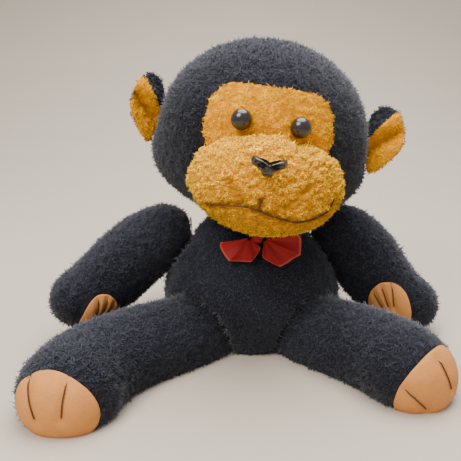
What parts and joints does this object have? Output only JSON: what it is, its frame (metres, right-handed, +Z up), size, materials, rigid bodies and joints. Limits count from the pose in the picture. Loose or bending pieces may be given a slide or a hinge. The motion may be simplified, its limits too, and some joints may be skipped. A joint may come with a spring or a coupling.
{
  "type": "stuffed monkey",
  "caption": "Seated plush monkey with a stuffed body, turning head, bendable ears, movable arms and legs, felt palms and soles, and a small bow.",
  "frame": {"origin": "middle of the flat seat, on the surface that the toy sits on", "axes": "+Z up, the toy faces -Y, and +X is its own left side"},
  "size_m": [0.3602, 0.2361, 0.2901],
  "materials": {
    "black_pile": "matte",
    "gold_pile": "matte",
    "felt": "matte",
    "embroidery_thread": "satin",
    "sewing_thread": "satin",
    "stuffing": "matte",
    "bow_cloth": "satin",
    "dark_plastic": "gloss",
    "washer_plastic": "satin"
  },
  "bodies": {
    "torso": {"torso_cover": "black_pile", "torso_filling": "stuffing", "closing_stitches": "sewing_thread", "bow_left": "bow_cloth", "bow_right": "bow_cloth", "bow_knot": "bow_cloth"},
    "neck_stitching": {"neck_stitching": "sewing_thread"},
    "head": {"head_cover": "black_pile", "head_filling": "stuffing", "face_panel": "gold_pile", "upper_muzzle": "gold_pile", "chin": "gold_pile", "muzzle_filling": "stuffing", "mouth_stitching": "embroidery_thread", "nose": "dark_plastic", "nose_washer": "washer_plastic", "eye_left": "dark_plastic", "eye_right": "dark_plastic", "eye_washer_left": "washer_plastic", "eye_washer_right": "washer_plastic"},
    "ear_left": {"ear_back_left": "black_pile", "ear_lining_left": "gold_pile"},
    "ear_right": {"ear_back_right": "black_pile", "ear_lining_right": "gold_pile"},
    "shoulder_stitching_left": {"shoulder_stitching_left": "sewing_thread"},
    "arm_left": {"arm_cover_left": "black_pile", "arm_filling_left": "stuffing", "palm_pad_left": "felt", "finger_stitches_left": "embroidery_thread"},
    "shoulder_stitching_right": {"shoulder_stitching_right": "sewing_thread"},
    "arm_right": {"arm_cover_right": "black_pile", "arm_filling_right": "stuffing", "palm_pad_right": "felt", "finger_stitches_right": "embroidery_thread"},
    "leg_left": {"leg_cover_left": "black_pile", "leg_filling_left": "stuffing", "sole_pad_left": "felt", "toe_stitches_left": "embroidery_thread", "hip_stitching_left": "sewing_thread"},
    "leg_right": {"leg_cover_right": "black_pile", "leg_filling_right": "stuffing", "sole_pad_right": "felt", "toe_stitches_right": "embroidery_thread", "hip_stitching_right": "sewing_thread"}
  },
  "joints": [
    {"name": "neck_turn", "type": "hinge", "parent": "torso", "child": "neck_stitching", "pos_m": [0, 0, 0.118], "axis": [0, 0, 1], "range_deg": [-15, 15]},
    {"name": "neck_nod", "type": "hinge", "parent": "neck_stitching", "child": "head", "pos_m": [0, 0, 0.118], "axis": [1, 0, 0], "range_deg": [-8, 2]},
    {"name": "ear_bend_left", "type": "hinge", "parent": "head", "child": "ear_left", "pos_m": [0.09645, -0.026, 0.20846], "axis": [0.0488, 0.0523, 0.9974], "range_deg": [-6, 20], "stiffness_Nm_per_rad": 0.03},
    {"name": "ear_bend_right", "type": "hinge", "parent": "head", "child": "ear_right", "pos_m": [-0.07966, -0.026, 0.23321], "axis": [-0.2281, -0.0523, -0.9722], "range_deg": [-6, 20], "stiffness_Nm_per_rad": 0.03},
    {"name": "shoulder_swing_left", "type": "hinge", "parent": "torso", "child": "shoulder_stitching_left", "pos_m": [0.084, 0.002, 0.12], "axis": [-1, 0, 0], "range_deg": [0, 20]},
    {"name": "shoulder_spread_left", "type": "hinge", "parent": "shoulder_stitching_left", "child": "arm_left", "pos_m": [0.084, 0.002, 0.12], "axis": [0, -1, 0], "range_deg": [0, 15]},
    {"name": "shoulder_swing_right", "type": "hinge", "parent": "torso", "child": "shoulder_stitching_right", "pos_m": [-0.084, 0.002, 0.12], "axis": [-1, 0, 0], "range_deg": [0, 20]},
    {"name": "shoulder_spread_right", "type": "hinge", "parent": "shoulder_stitching_right", "child": "arm_right", "pos_m": [-0.084, 0.002, 0.12], "axis": [0, 1, 0], "range_deg": [0, 15]},
    {"name": "hip_splay_left", "type": "hinge", "parent": "torso", "child": "leg_left", "pos_m": [0.052, -0.04, 0.0366], "axis": [0, 0, 1], "range_deg": [-10, 0]},
    {"name": "hip_splay_right", "type": "hinge", "parent": "torso", "child": "leg_right", "pos_m": [-0.052, -0.04, 0.0366], "axis": [0, 0, -1], "range_deg": [-12, 0]}
  ]
}
